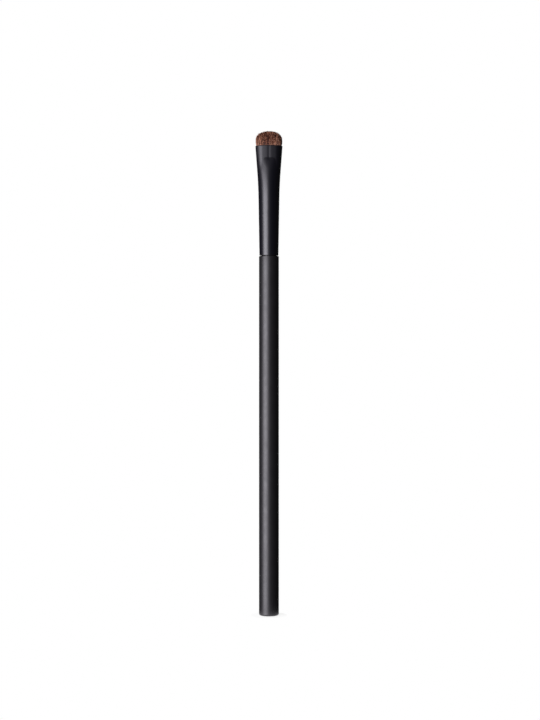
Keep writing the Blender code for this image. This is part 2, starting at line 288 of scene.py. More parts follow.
class Paint:
    """One material under construction: its shader, its coordinates and its shared effects."""

    def __init__(
        self, name: str, effects: Effects, roughness: float, ior: float, gloss_tint: Colour = (1.0, 1.0, 1.0)
    ) -> None:
        """Makes the material with its plain shader values.

        Args:
            name: The material's name.
            effects: The shared shader groups.
            roughness: The shader's plain roughness.
            ior: The coat's refractive index, which sets how glossy it is.
            gloss_tint: The colour of the gloss.
        """
        self.material = bpy.data.materials.new(name)
        self.material.use_nodes = True
        self.wiring = Wiring(self.material.node_tree)
        self.shader = self.material.node_tree.nodes["Principled BSDF"]
        self.shader.inputs["Roughness"].default_value = roughness
        self.shader.inputs["IOR"].default_value = ior
        self.shader.inputs["Specular Tint"].default_value = (*gloss_tint, 1.0)
        self.effects = effects
        self.place = self.wiring.add("TexCoord").outputs["Object"]

    def effect(self, group: bpy.types.NodeTree, **values: float) -> bpy.types.NodeSocket:
        """Places a shared group on the object's coordinates.

        Args:
            group: The group.
            **values: Its number inputs, by their names in small letters.

        Returns:
            The group's output.
        """
        node = self.wiring.tree.nodes.new("ShaderNodeGroup")
        node.node_tree = group
        self.wiring.tree.links.new(self.place, node.inputs["Coordinates"])
        for name, value in values.items():
            node.inputs[name.capitalize()].default_value = value
        return node.outputs[0]

    def mottle(self, size: float, low: float = 0.0, high: float = 1.0) -> bpy.types.NodeSocket:
        """Soft blotches of a size, from low to high."""
        return self.effect(self.effects.mottle, size=size, low=low, high=high)

    def lines(self, pitch: float, length: float) -> bpy.types.NodeSocket:
        """Fine lines along Z, from 0 to 1."""
        return self.effect(self.effects.lines, pitch=pitch, length=length, low=0.0, high=1.0)

    def rub_and_highlight(self, lower: float, upper: float, reach: float, grain: float) -> bpy.types.NodeSocket:
        """Patchy wear within reach of two heights, from 0 to 1; on the anodised tube it also carries a
        painted edge highlight.
        """
        return self.effect(self.effects.rub_and_highlight, lower=lower, upper=upper, reach=reach, grain=grain)

    def feed(self, **sockets: bpy.types.NodeSocket) -> None:
        """Joins sockets to the shader's inputs, which are named with underscores for spaces."""
        for name, socket in sockets.items():
            self.wiring.tree.links.new(socket, self.shader.inputs[name.replace("_", " ").title()])

    def bump(self, height: bpy.types.NodeSocket, depth: float) -> None:
        """Raises the surface by a height from 0 to 1 times a depth in metres."""
        node = self.wiring.add("Bump", {"Height": height, "Distance": depth, "Strength": 1.0})
        self.wiring.tree.links.new(node.outputs[0], self.shader.inputs["Normal"])


@dataclass(frozen=True)
class SoftTouchLacquer:
    """Matt black rubbery lacquer with a fine grain, polished a little by handling at its turned edges."""

    colour: Colour = (0.0105, 0.0098, 0.0125)
    shade: Colour = (0.0125, 0.0118, 0.0145)
    rubbed: Colour = (0.02, 0.0192, 0.0215)
    gloss_tint: Colour = (0.955, 0.92, 1.0)
    roughness: float = 0.46
    roughness_spread: float = 0.03
    ior: float = 1.79
    blotch: float = 0.0045
    sheen_blotch: float = 0.00225
    grain: float = 0.00022
    grain_depth: float = 0.0000012
    rub_and_highlight_reach: float = 0.0011
    rub_and_highlight_grain: float = 0.00044
    polish: float = 0.06

    def material(self, effects: Effects, low: float, high: float) -> bpy.types.Material:
        """Makes the lacquer.

        Args:
            effects: The shared shader groups.
            low: The height of the lower turned edge.
            high: The height of the upper turned edge.

        Returns:
            The material.
        """
        paint = Paint("soft_touch_lacquer", effects, self.roughness, self.ior, self.gloss_tint)
        rub_and_highlight = paint.rub_and_highlight(low, high, self.rub_and_highlight_reach, self.rub_and_highlight_grain)
        coat = paint.wiring.mix(paint.mottle(self.blotch), self.colour, self.shade)
        paint.feed(base_color=paint.wiring.mix(rub_and_highlight, coat, self.rubbed))
        least, most = self.roughness - self.roughness_spread, self.roughness + self.roughness_spread
        sheen = paint.mottle(self.sheen_blotch, least, most)
        polish = paint.wiring.math("MULTIPLY", rub_and_highlight, self.polish)
        paint.feed(roughness=paint.wiring.math("SUBTRACT", sheen, polish))
        paint.bump(paint.mottle(self.grain), self.grain_depth)
        return paint.material


@dataclass(frozen=True)
class BlackAnodising:
    """Dyed oxide on a drawn aluminium tube: satin, with faint drawing lines, and paler edges that are partly
    wear and partly a painted highlight.
    """

    colour: Colour = (0.0022, 0.0021, 0.0068)
    shade: Colour = (0.0032, 0.0031, 0.0084)
    # The paler edge is partly worn oxide and partly a painted highlight where the lip and the foot catch the
    # light.
    edge: Colour = (0.009, 0.0088, 0.0115)
    gloss_tint: Colour = (0.94, 0.915, 1.0)
    roughness: float = 0.355
    mouth_roughness: float = 0.45
    mouth_start_share: float = 0.7
    mouth_end_share: float = 0.95
    roughness_spread: float = 0.02
    ior: float = 1.79
    blotch: float = 0.003
    line_pitch: float = 0.00016
    line_length: float = 0.012
    line_depth: float = 0.0000008
    rub_and_highlight_reach: float = 0.0004
    rub_and_highlight_grain: float = 0.00032

    def material(self, effects: Effects, low: float, high: float) -> bpy.types.Material:
        """Makes the anodised finish.

        Args:
            effects: The shared shader groups.
            low: The height of the tube's foot.
            high: The height of its lip.

        Returns:
            The material.
        """
        paint = Paint("black_anodised_tube", effects, self.roughness, self.ior, self.gloss_tint)
        rub_and_highlight = paint.rub_and_highlight(low, high, self.rub_and_highlight_reach, self.rub_and_highlight_grain)
        dye = paint.wiring.mix(paint.mottle(self.blotch), self.colour, self.shade)
        # Painted highlight: the edge colour lightens the lip and the foot as if they caught the light, on top
        # of real wear.
        paint.feed(base_color=paint.wiring.mix(rub_and_highlight, dye, self.edge))
        lines = paint.lines(self.line_pitch, self.line_length)
        height = paint.wiring.add("SeparateXYZ", {0: paint.place}).outputs[2]
        start, end = (between(low, high, share) for share in (self.mouth_start_share, self.mouth_end_share))
        sheen = paint.wiring.span(height, start, end, self.roughness, self.mouth_roughness, soft=True)
        paint.feed(roughness=paint.wiring.math("MULTIPLY_ADD", lines, self.roughness_spread, sheen))
        paint.bump(lines, self.line_depth)
        return paint.material


@dataclass(frozen=True)
class NaturalHair:
    """Brown animal hair.

    Its map has a column for each lock, with a part for each of the lock's tones, and height runs up it. The
    tones are partly the hair's own uneven colour and partly painted shade and highlight: the bands up each
    lock stand for the shading of its waves, and the foot is lightened by painted light.
    """

    dark: Colour = (0.08, 0.014, 0.0095)
    middle: Colour = (0.29, 0.084, 0.05)
    light: Colour = (0.76, 0.36, 0.235)
    # The foot colour is partly paler roots and partly painted light falling on the upright lower hair.
    foot: Colour = (0.68, 0.44, 0.355)
    foot_share: float = 0.6
    foot_height_share: float = 0.36
    lock_share: float = 0.5
    hair_share: float = 1.8
    band_share: float = 2.5
    band: float = 0.0009
    band_detail: float = 1.0
    roughness: float = 0.45
    ior: float = 1.5

    def material(self, effects: Effects, locks: int, hairs: int, height: float) -> bpy.types.Material:
        """Makes the hair's finish.

        Args:
            effects: The shared shader groups.
            locks: How many columns the map has.
            hairs: How many parts each column has.
            height: The real height that the map takes in.

        Returns:
            The material.
        """
        paint = Paint("natural_brown_hair", effects, self.roughness, self.ior)
        wiring = paint.wiring
        parts = wiring.add("SeparateXYZ", {0: wiring.add("UVMap", uv_map=HAIR_MAP).outputs[0]}).outputs
        lock = wiring.math("FLOOR", wiring.math("MULTIPLY", parts[0], float(locks)))
        hair = wiring.math("FLOOR", wiring.math("MULTIPLY", parts[0], float(locks * hairs)))
        # The lock and hair tones are partly the hair's own uneven colour and partly painted shade between the
        # locks; the bands up each lock are painted highlight and shade along its waves.
        values = []
        for number, share in ((lock, self.lock_share), (hair, self.hair_share)):
            shade = wiring.add("TexWhiteNoise", {"W": number}, noise_dimensions="1D").outputs[0]
            values.append((shade, share))
        steps = wiring.math("MULTIPLY", parts[1], height / self.band)
        place = wiring.add("CombineXYZ", {0: lock, 1: steps}).outputs[0]
        values.append((wiring.noise(place, 1.0, self.band_detail), self.band_share))
        tone = 0.5
        for value, share in values:
            part = wiring.math("MULTIPLY", wiring.math("SUBTRACT", value, 0.5), share)
            tone = wiring.math("ADD", tone, part)
        colour = wiring.ramp(tone, [(0.0, self.dark), (0.5, self.middle), (1.0, self.light)])
        # Painted light: the hair lightens towards its foot where light falls on the upright lower hair,
        # together with paler roots.
        foot = wiring.span(parts[1], 0.0, self.foot_height_share, self.foot_share, 0.0, soft=True)
        paint.feed(base_color=wiring.mix(foot, colour, self.foot))
        return paint.material


@dataclass(frozen=True)
class PackedRoots:
    """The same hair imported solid: darker, with its fibres drawn as fine lines."""

    dark: Colour = (0.045, 0.018, 0.012)
    light: Colour = (0.17, 0.075, 0.05)
    roughness: float = 0.6
    ior: float = 1.55
    fibre: float = 0.00009
    fibre_length: float = 0.006
    fibre_depth: float = 0.00002

    def material(self, effects: Effects) -> bpy.types.Material:
        """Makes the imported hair's finish.

        Args:
            effects: The shared shader groups.

        Returns:
            The material.
        """
        paint = Paint("packed_hair_roots", effects, self.roughness, self.ior)
        lines = paint.lines(self.fibre, self.fibre_length)
        paint.feed(base_color=paint.wiring.mix(lines, self.dark, self.light))
        paint.bump(lines, self.fibre_depth)
        return paint.material


@dataclass(frozen=True)
class CastFinish:
    """A cast or wound filler inside the ferrule: two close colours in soft blotches over a fine grain."""

    name: str
    dark: Colour
    light: Colour
    roughness: float
    ior: float
    blotch: float
    grain: float
    grain_depth: float
    spread_share: float = 0.1

    def material(self, effects: Effects) -> bpy.types.Material:
        """Makes the filler's finish.

        Args:
            effects: The shared shader groups.

        Returns:
            The material.
        """
        paint = Paint(self.name, effects, self.roughness, self.ior)
        paint.feed(base_color=paint.wiring.mix(paint.mottle(self.blotch), self.dark, self.light))
        spread = self.roughness * self.spread_share
        paint.feed(roughness=paint.mottle(self.blotch, self.roughness - spread, self.roughness + spread))
        paint.bump(paint.mottle(self.grain), self.grain_depth)
        return paint.material


def new_mesh(name: str, bm: bmesh.types.BMesh) -> bpy.types.Mesh:
    """Writes a bmesh to a new mesh and frees it.

    Args:
        name: The mesh's name.
        bm: The bmesh.

    Returns:
        The mesh.
    """
    mesh = bpy.data.meshes.new(name)
    bm.to_mesh(mesh)
    bm.free()
    return mesh


def place_piece(mesh: bpy.types.Mesh, looks: bpy.types.Material) -> bpy.types.Object:
    """Makes a finished mesh a piece of the same name that rides on the brush.

    Args:
        mesh: The piece's mesh.
        looks: Its material.

    Returns:
        The new object.
    """
    mesh.materials.append(looks)
    piece = bpy.data.objects.new(mesh.name, mesh)
    bpy.context.scene.collection.objects.link(piece)
    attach(piece, BODY)
    return piece


def solid_piece(name: str, bm: bmesh.types.BMesh, looks: bpy.types.Material) -> bpy.types.Object:
    """Cleans a turned or lofted bmesh and makes it a smooth-shaded piece.

    Args:
        name: The piece's name.
        bm: Its bmesh, which is freed.
        looks: Its material.

    Returns:
        The new object.
    """
    bmesh.ops.remove_doubles(bm, verts=bm.verts, dist=MERGE_DISTANCE)
    bmesh.ops.recalc_face_normals(bm, faces=bm.faces)
    mesh = new_mesh(name, bm)
    mesh.shade_smooth()
    mesh.set_sharp_from_angle(angle=SHARP_ANGLE)
    return place_piece(mesh, looks)


@dataclass
class Stick:
    """The turned stick: a flat butt, a straight shaft, and the grooved tenon that the glue holds."""

    foot: float
    top: float
    diameter: float
    tenon_diameter: float = 0.0054
    tenon_length: float = 0.014
    tenon_chamfer: float = 0.0005
    groove_width: float = 0.001
    groove_depth: float = 0.00025
    groove_pitch: float = 0.0045
    groove_count: int = 2
    butt_rounding: float = 0.0006
    shoulder_rounding: float = 0.00025
    shoulder_rise: float = 0.0001
    sides: int = 192
    rings: int = 36
    rounding_steps: int = 8

    @classmethod
    def from_frame(cls) -> "Stick":
        """Takes the stick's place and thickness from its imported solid."""
        low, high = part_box("handle")
        return cls(foot=low.z, top=high.z - cls.tenon_length, diameter=high.x - low.x)

    def profile(self) -> Profile:
        """The outline from the middle of the butt to the middle of the tenon's end.

        Returns:
            Pairs of a radius and a height.
        """
        radius, tenon = self.diameter / 2.0, self.tenon_diameter / 2.0
        shoulder = self.top + self.shoulder_rise
        low = self.foot + self.butt_rounding
        high = shoulder - self.shoulder_rounding
        butt = rounded(self.butt_rounding, self.rounding_steps)
        edge = rounded(self.shoulder_rounding, self.rounding_steps)
        outline = [(0.0, self.foot)]
        outline += [(radius - side, self.foot + end) for side, end in reversed(butt)]
        outline += [(radius, between(low, high, ring / self.rings)) for ring in range(1, self.rings)]
        outline += [(radius - side, shoulder - end) for side, end in edge]
        outline += [(tenon, shoulder)]
        middle = self.top + self.tenon_length / 2.0
        for index in range(self.groove_count):
            centre = middle + (index - (self.groove_count - 1) / 2.0) * self.groove_pitch
            start, end = centre - self.groove_width / 2.0, centre + self.groove_width / 2.0
            outline += [(tenon, start), (tenon - self.groove_depth, start + self.groove_depth)]
            outline += [(tenon - self.groove_depth, end - self.groove_depth), (tenon, end)]
        end = self.top + self.tenon_length
        return outline + [(tenon, end - self.tenon_chamfer), (tenon - self.tenon_chamfer, end), (0.0, end)]

    def build(self, looks: bpy.types.Material) -> bpy.types.Object:
        """Spins the outline into the stick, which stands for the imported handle.

        Args:
            looks: The lacquer.

        Returns:
            The stick.
        """
        bm = bmesh.new()
        verts = [bm.verts.new((radius, 0.0, height)) for radius, height in self.profile()]
        edges = [bm.edges.new(pair) for pair in zip(verts, verts[1:])]
        bmesh.ops.spin(
            bm,
            geom=verts + edges,
            cent=(0.0, 0.0, 0.0),
            axis=(0.0, 0.0, 1.0),
            angle=2.0 * math.pi,
            steps=self.sides,
            use_merge=True,
        )
        piece = solid_piece("lacquered_stick", bm, looks)
        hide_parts("handle")
        return piece

    def dress(self, effects: Effects) -> bpy.types.Material:
        """Makes the stick's lacquer, worn at the butt and at the shoulder."""
        return SoftTouchLacquer().material(effects, self.foot, self.top)


@dataclass(frozen=True)
class Section:
    """A level slice of the ferrule.

    Each of its faces is a flat with round ends, which the oval share fades into an oval. Where the oval
    stands prouder, a die's plane cuts it off, and the cut is eased.
    """

    flat: float
    width: float
    depth: float
    oval_depth: float
    oval_share: float
    plane: float
    plane_ease: float

    def point(self, share: float) -> tuple[float, float]:
        """The point at a share of the way round, counted from +X towards +Y.

        Args:
            share: The share of the way round, from 0 to 1.

        Returns:
            Its X and Y.
        """
        quarter, along = divmod(share % 1.0 * 4.0, 1.0)
        if quarter % 2:
            along = 1.0 - along
        arc = self.depth * math.pi / 2.0
        walked = along * (arc + self.flat)
        end = self.width - self.flat
        x = self.flat + end * math.cos(walked / self.depth) if walked < arc else self.flat + arc - walked
        x = between(x, self.width * math.cos(along * math.pi / 2.0), self.oval_share)
        beyond = max(x - self.flat, 0.0) / end
        pressed = self.depth * math.sqrt(1.0 - min(beyond, 1.0) ** 2)
        oval = self.oval_depth * math.sqrt(1.0 - min(x / self.width, 1.0) ** 2)
        y = max(between(pressed, oval, self.oval_share), soft_least(oval, self.plane, self.plane_ease))
        return (-x if quarter in (1, 2) else x), (-y if quarter >= 2 else y)

    def inset(self, distance: float) -> "Section":
        """The same section with its outline moved inwards.

        Args:
            distance: How far inwards.

        Returns:
            The smaller section.
        """
        sizes = (self.width, self.depth, self.oval_depth)
        width, depth, oval_depth = (size - distance for size in sizes)
        return replace(self, width=width, depth=depth, oval_depth=oval_depth, plane=self.plane - distance)


@dataclass
class Ferrule:
    """The drawn, slightly conical tube with a mouth pressed between flat dies. Heights start at its foot."""

    foot: float
    length: float
    mouth_width: float
    foot_diameter: float = 0.00685
    mouth_tube_diameter: float = 0.00812
    wall: float = 0.0004
    press_length: float = 0.0189
    press_ease_share: float = 0.5
    die_height: float = 0.0044
    facet_height: float = 0.0024
    facet_ease: float = 0.0003
    crease_ease: float = 0.00002
    oval_reach: float = 0.005
    crown: float = 0.00013
    valley: float = 0.00006
    valley_width: float = 0.00033
    valley_fade: float = 0.0012
    lip_rounding: float = 0.00019
    foot_rounding: float = 0.00012
    sides: int = 256
    ring_pitch: float = 0.0008
    fine_pitch: float = 0.0002
    fine_reach: float = 0.0048
    rounding_steps: int = 5

    @classmethod
    def from_frame(cls) -> "Ferrule":
        """Takes the tube's place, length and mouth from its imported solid."""
        low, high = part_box("ferrule")
        return cls(foot=low.z, length=high.z - low.z, mouth_width=high.x - low.x)

    @property
    def crease(self) -> float:
        """The height of the dies' lower edge."""
        return self.length - self.die_height

    def press_share(self, height: float) -> float:
        """How much of the mouth's widening the tube has at a height: it starts gently, then grows evenly.

        Args:
            height: The height above the tube's foot.

        Returns:
            The share, from 0 to 1.
        """
        reach = max(height - self.length + self.press_length, 0.0) / self.press_length
        ease = self.press_ease_share
        grown = reach * reach / (2.0 * ease) if reach < ease else reach - ease / 2.0
        return grown / (1.0 - ease / 2.0)

    def free_size(self, height: float) -> tuple[float, float]:
        """The half width and depth where nothing but its girth shapes the tube: as it widens, it thins.

        The girth is that of a flat with round ends, and stays the round tube's own.

        Args:
            height: The height above the tube's foot.

        Returns:
            Half of the width across X and half of the depth across Y.
        """
        tube = between(self.foot_diameter, self.mouth_tube_diameter, height / self.length)
        spread = self.mouth_width - self.mouth_tube_diameter
        width = (tube + spread * self.press_share(height)) / 2.0
        return width, (math.pi * tube - 4.0 * width) / (2.0 * math.pi - 4.0)

    def section(self, height: float) -> Section:
        """The outer section at a height.

        Args:
            height: The height above the tube's foot.

        Returns:
            The section, cut by the dies' upright planes above the crease and by slanted ones below it.
        """
        width, free_depth = self.free_size(height)
        mouth_width, mouth_depth = self.free_size(self.length)
        below = self.crease - height
        slope = (self.free_size(self.crease - self.facet_height)[1] - mouth_depth) / self.facet_height
        plane = -soft_least(-mouth_depth - below * slope, -mouth_depth, self.crease_ease)
        return Section(
            flat=mouth_width - mouth_depth,
            width=width,
            depth=mouth_depth,
            oval_depth=free_depth,
            oval_share=eased(below, 0.0, self.oval_reach),
            plane=plane,
            plane_ease=self.facet_ease,
        )

    def hollow(self, x: float, height: float) -> float:
        """How far the pressed face has sprung back from flat at a place across it.

        Args:
            x: The distance from the middle of the face.
            height: The height above the tube's foot.

        Returns:
            The distance below the die's plane: a crown towards the sides and a shallow valley in the middle.
        """
        edge = self.section(self.length).flat
        out = abs(x) / edge
        crown = out * out if out < 1.0 else 2.0 * out - 1.0
        crown_fade, valley_fade = (
            1.0 - eased(self.crease - height, 0.0, reach) for reach in (self.oval_reach, self.valley_fade)
        )
        valley = math.exp(-((x / self.valley_width) ** 2) / 2.0)
        return self.crown * crown * crown_fade + self.valley * valley * valley_fade

    def place_ring(self, ring: list[bmesh.types.BMVert], height: float, inset: float) -> None:
        """Moves a ring of vertices to the section at a height.

        Args:
            ring: The ring's vertices in their order round the tube.
            height: The height above the tube's foot.
            inset: How far inside the outer face the ring lies.
        """
        section = self.section(height).inset(inset)
        for index, vert in enumerate(ring):
            x, y = section.point(index / self.sides)
            y *= 1.0 - self.hollow(x, height) / section.depth
            vert.co = (x, y, self.foot + height)

    def heights(self) -> list[float]:
        """The heights of the rings up the outside, closer together round the crease.

        Returns:
            The heights above the tube's foot, from the lowest to the highest.
        """
        low, high = self.foot_rounding, self.length - self.lip_rounding
        middle = self.crease - self.fine_reach
        coarse = round((middle - low) / self.ring_pitch)
        fine = round((high - middle) / self.fine_pitch)
        rises = [between(low, middle, step / coarse) for step in range(1, coarse)]
        return rises + [between(middle, high, step / fine) for step in range(fine)]

    def profile(self) -> Profile:
        """The wall's outline: up the outside, over the lip, down the bore and round the foot.

        Returns:
            Pairs of a height above the tube's foot and a distance inside the outer face.
        """
        foot, lip = (rounded(size, self.rounding_steps) for size in (self.foot_rounding, self.lip_rounding))
        rises = self.heights()
        outline = [(end, side) for side, end in reversed(foot)]
        outline += [(height, 0.0) for height in rises]
        outline += [(self.length - end, side) for side, end in lip]
        outline += [(self.length - end, self.wall - side) for side, end in reversed(lip)]
        outline += [(height, self.wall) for height in reversed(rises[::2])]
        return outline + [(0.0, self.wall)]

    def build(self, looks: bpy.types.Material) -> bpy.types.Object:
        """Lofts the tube's wall ring by ring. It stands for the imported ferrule.

        Args:
            looks: The anodised finish.

        Returns:
            The tube.
        """
        bm = bmesh.new()
        outline = self.profile()
        made = bmesh.ops.create_circle(bm, cap_ends=False, segments=self.sides, radius=self.mouth_width)
        ring = made["verts"]
        self.place_ring(ring, *outline[0])
        for height, inset in outline[1:] + outline[:1]:
            edges = [bm.edges.get(pair) for pair in zip(ring, ring[1:] + ring[:1])]
            risen = set(bmesh.ops.extrude_edge_only(bm, edges=edges)["geom"])
            ring = [next(end for end in self.neighbours(vert) if end in risen) for vert in ring]
            self.place_ring(ring, height, inset)
        piece = solid_piece("anodised_ferrule", bm, looks)
        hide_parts("ferrule")
        return piece

    @staticmethod
    def neighbours(vert: bmesh.types.BMVert) -> list[bmesh.types.BMVert]:
        """The vertices that share an edge with this one."""
        return [edge.other_vert(vert) for edge in vert.link_edges]

    def dress(self, effects: Effects) -> bpy.types.Material:
        """Makes the tube's anodised finish, paler at its foot and its lip from wear and a painted edge
        highlight.
        """
        return BlackAnodising().material(effects, self.foot, self.foot + self.length)


@dataclass
class Tuft:
    """The free hair: packed in the mouth, swollen over the lip to a belly, and cut to a dome."""

    ferrule: Ferrule
    foot: float
    top: float
    belly_width: float = 0.00964
    belly_depth: float = 0.00508
    belly_rise: float = 0.00195
    wall_gap: float = 0.00003
    hair_diameter: float = 0.000074
    pitch: float = 0.000085
    jitter_share: float = 0.35
    flare_start: float = 0.0002
    flare_power: float = 2.8
    dome_power: float = 2.15
    face_power: float = 3.0
    face_edge_share: float = 0.97
    edge_limit: float = 0.999
    lean_share: float = 0.06
    shortest_share: float = 0.5
    length_spread: float = 0.00008
    lock_length_spread: float = 0.00004
    clump_pitch: float = 0.00026
    clump_pull_share: float = 0.55
    clump_wave: float = 0.00014
    clump_tilt: float = 0.09
    slack_power: float = 2.0
    hair_wave: float = 0.00008
    wave_length: float = 0.0018
    wave_length_spread: float = 0.0025
    splay: float = 0.00014
    bend_power: float = 1.5
    stray_share: float = 0.012
    stray_reach: float = 0.00022
    core_share: float = 0.62
    hair_tones: int = 4
    sides: int = 3
    ring_shares: tuple[float, ...] = (0.0, 0.08, 0.2, 0.36, 0.54, 0.72, 0.88, 1.0)
    width_least: float = 0.82
    width_most: float = 1.12
    taper_start_share: float = 0.5
    taper_power: float = 1.5
    tip_share: float = 0.25
    map_share: float = 0.5
    cap_share: float = 0.004
    seed: int = 3
    chance: np.random.Generator = field(init=False)

    def __post_init__(self) -> None:
        """Starts the tuft's own random draws."""
        self.chance = np.random.default_rng(self.seed)

    @classmethod
    def from_frame(cls, ferrule: Ferrule) -> "Tuft":
        """Takes the tuft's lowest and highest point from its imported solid."""
        low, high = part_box("hair_tuft")
        return cls(ferrule=ferrule, foot=low.z, top=high.z)

    @property
    def lip(self) -> float:
        """The height of the ferrule's lip."""
        return self.ferrule.foot + self.ferrule.length

    @property
    def belly(self) -> float:
        """The height where the tuft is widest."""
        return self.lip + self.belly_rise

    @property
    def free_foot(self) -> float:
        """The height, just inside the mouth, where the hair starts to swell."""
        return self.lip - self.flare_start

    def bore(self) -> Section:
        """The section of the mouth that the hair fills."""
        mouth = self.ferrule.section(self.ferrule.length)
        return mouth.inset(self.ferrule.wall + self.wall_gap + self.hair_diameter / 2.0)

    def reach(self, x: np.ndarray, y: np.ndarray) -> np.ndarray:
        """How far out in the bore each place lies: 0 in its middle and 1 at its wall.

        Args:
            x: The places across the flats' width.
            y: The places across their depth.

        Returns:
            The scale of the bore's outline that runs through each place.
        """
        # Beside the flats the scale is a plain ratio. Round the ends it is the root of a quadratic.
        bore = self.bore()
        end = bore.width - bore.flat
        flat_scale = np.abs(y) / bore.depth
        far = x * x + (end * y / bore.depth) ** 2
        lead = np.abs(x) * bore.flat
        end_scale = far / (lead + np.sqrt(lead**2 + (end**2 - bore.flat**2) * far) + LEAST_DIVISOR)
        return np.where(np.abs(x) <= bore.flat * flat_scale, flat_scale, end_scale)

    def roots(self) -> np.ndarray:
        """Scatters the hairs over the bore in a jittered close-packed pattern.

        Returns:
            The X and Y of every hair, one row for each.
        """
        bore = self.bore()
        row_pitch = self.pitch * math.sqrt(3.0) / 2.0
        rows = np.arange(-int(bore.depth / row_pitch) - 1, int(bore.depth / row_pitch) + 2)
        columns = np.arange(-int(bore.width / self.pitch) - 1, int(bore.width / self.pitch) + 2)
        row, column = (grid.ravel() for grid in np.meshgrid(rows, columns))
        x = (column + row % 2 / 2.0) * self.pitch
        places = np.stack([x, row * row_pitch], axis=1)
        places += self.chance.uniform(-1.0, 1.0, places.shape) * self.jitter_share * self.pitch
        return places[self.reach(*places.T) < 1.0]

    @property
    def lock_count(self) -> int:
        """How many locks the mouth holds.

        Returns:
            Their number.
        """
        bore = self.bore()
        area = 4.0 * bore.flat * bore.depth + math.pi * bore.depth * (bore.width - bore.flat)
        return round(area / self.clump_pitch**2)

    def clumps(self, roots: np.ndarray) -> tuple[np.ndarray, np.ndarray]:
        """Gathers the hairs into small locks.

        Args:
            roots: The X and Y of every hair.

        Returns:
            The number of each hair's lock, and the X and Y of every lock.
        """
        centres = roots[self.chance.choice(len(roots), self.lock_count, replace=False)]
        apart = ((roots[:, None, :] - centres[None, :, :]) ** 2).sum(axis=2)
        return apart.argmin(axis=1), centres

    def slack(self, places: np.ndarray) -> np.ndarray:
        """How freely the tips over each place can wander, which keeps the tuft's outline clean.

        Args:
            places: The X and Y of places in the bore.

        Returns:
            A share for X and one for Y, each from 1 in the middle to 0 at the bore's side.
        """
        bore = self.bore()
        out = np.abs(places) / np.array([bore.width, bore.depth])
        return 1.0 - np.minimum(out, 1.0) ** self.slack_power

    def tip_rise(self, places: np.ndarray) -> np.ndarray:
        """How far above the belly the dome lies over each place at the belly.

        Args:
            places: The X and Y of every hair at the belly.

        Returns:
            The rise of the dome's surface over each.
        """
        bore = self.bore()
        half_width, half_depth = self.belly_width / 2.0, self.belly_depth / 2.0
        side = np.clip(np.abs(places[:, 0]) / half_width, 0.0, 1.0)
        flat = bore.flat * half_width / bore.width
        beyond = np.clip((np.abs(places[:, 0]) - flat) / (half_width - flat), 0.0, self.edge_limit)
        face = np.clip(np.abs(places[:, 1]) / (half_depth * np.sqrt(1.0 - beyond**2)), 0.0, 1.0)
        rise = (1.0 - side**self.dome_power) ** (1.0 / self.dome_power)
        rise = rise * np.sqrt(1.0 - (face * self.face_edge_share) ** self.face_power)
        return rise * (self.top - self.belly)

    def tips(self, places: np.ndarray, lock: np.ndarray) -> np.ndarray:
        """Works out where every hair ends: at the dome, less what the hair and its lock fall short.

        Args:
            places: The X and Y of every hair at the belly.
            lock: The number of each hair's lock.

        Returns:
            The height of every tip.
        """
        rise = self.tip_rise(places)
        rise -= np.abs(self.chance.normal(0.0, self.length_spread, len(places)))
        rise -= np.abs(self.chance.normal(0.0, self.lock_length_spread, self.lock_count))[lock]
        return np.maximum(self.belly + rise, self.lip + self.belly_rise * self.shortest_share)

    def swelling(self, roots: np.ndarray, swell: np.ndarray, height: np.ndarray) -> np.ndarray:
        """Works out how much wider than the bore the tuft is along every hair.

        Args:
            roots: The X and Y of every hair in the bore.
            swell: How much wider the belly is, across X and Y.
            height: The heights, by hair and ring.

        Returns:
            The scale by hair, ring and axis.
        """
        climb = np.clip((height - self.free_foot) / (self.belly - self.free_foot), 0.0, 1.0)
        flare = 1.0 - (1.0 - climb) ** self.flare_power
        above = np.clip((height - self.belly) / (self.top - self.belly), 0.0, 1.0)
        out = self.reach(*roots.T)[:, None]
        lean = 1.0 - self.lean_share * above**self.bend_power * out**2
        return (1.0 + flare[:, :, None] * (swell - 1.0)) * lean[:, :, None]

    def paths(self, roots: np.ndarray, lock: np.ndarray, centres: np.ndarray) -> np.ndarray:
        """Works out the middle line of every hair.

        Args:
            roots: The X and Y of every hair in the bore.
            lock: The number of each hair's lock.
            centres: The X and Y of every lock.

        Returns:
            Points by hair, ring and axis.
        """
        bore = self.bore()
        swell = np.array([self.belly_width, self.belly_depth]) / 2.0 - self.hair_diameter / 2.0
        swell /= np.array([bore.width, bore.depth])
        rise = (self.tips(roots * swell, lock) - self.free_foot)[:, None] * np.array(self.ring_shares)
        foot = np.full((len(roots), 1), self.foot)
        height = np.concatenate([foot, self.free_foot + rise], axis=1)
        free = np.clip((height - self.free_foot) / (self.top - self.free_foot), 0.0, 1.0)[:, :, None]
        scale = self.swelling(roots, swell, height)
        place = roots[:, None, :] * scale
        give = np.stack([np.ones(len(roots)), self.slack(roots)[:, 1]], axis=1)[:, None, :]
        pull = self.clump_pull_share * give * free**self.bend_power
        place += (centres[lock][:, None, :] * scale - place) * pull
        place += self.wander(lock, centres, height, free)
        bare = place / scale
        place /= np.maximum(self.reach(bare[:, :, 0], bare[:, :, 1]), 1.0)[:, :, None]
        stray = self.chance.random(len(roots)) < self.stray_share
        drift = self.chance.normal(0.0, self.stray_reach, (len(roots), 1, 2)) * stray[:, None, None]
        place += drift * free**2
        return np.concatenate([place, height[:, :, None]], axis=2)

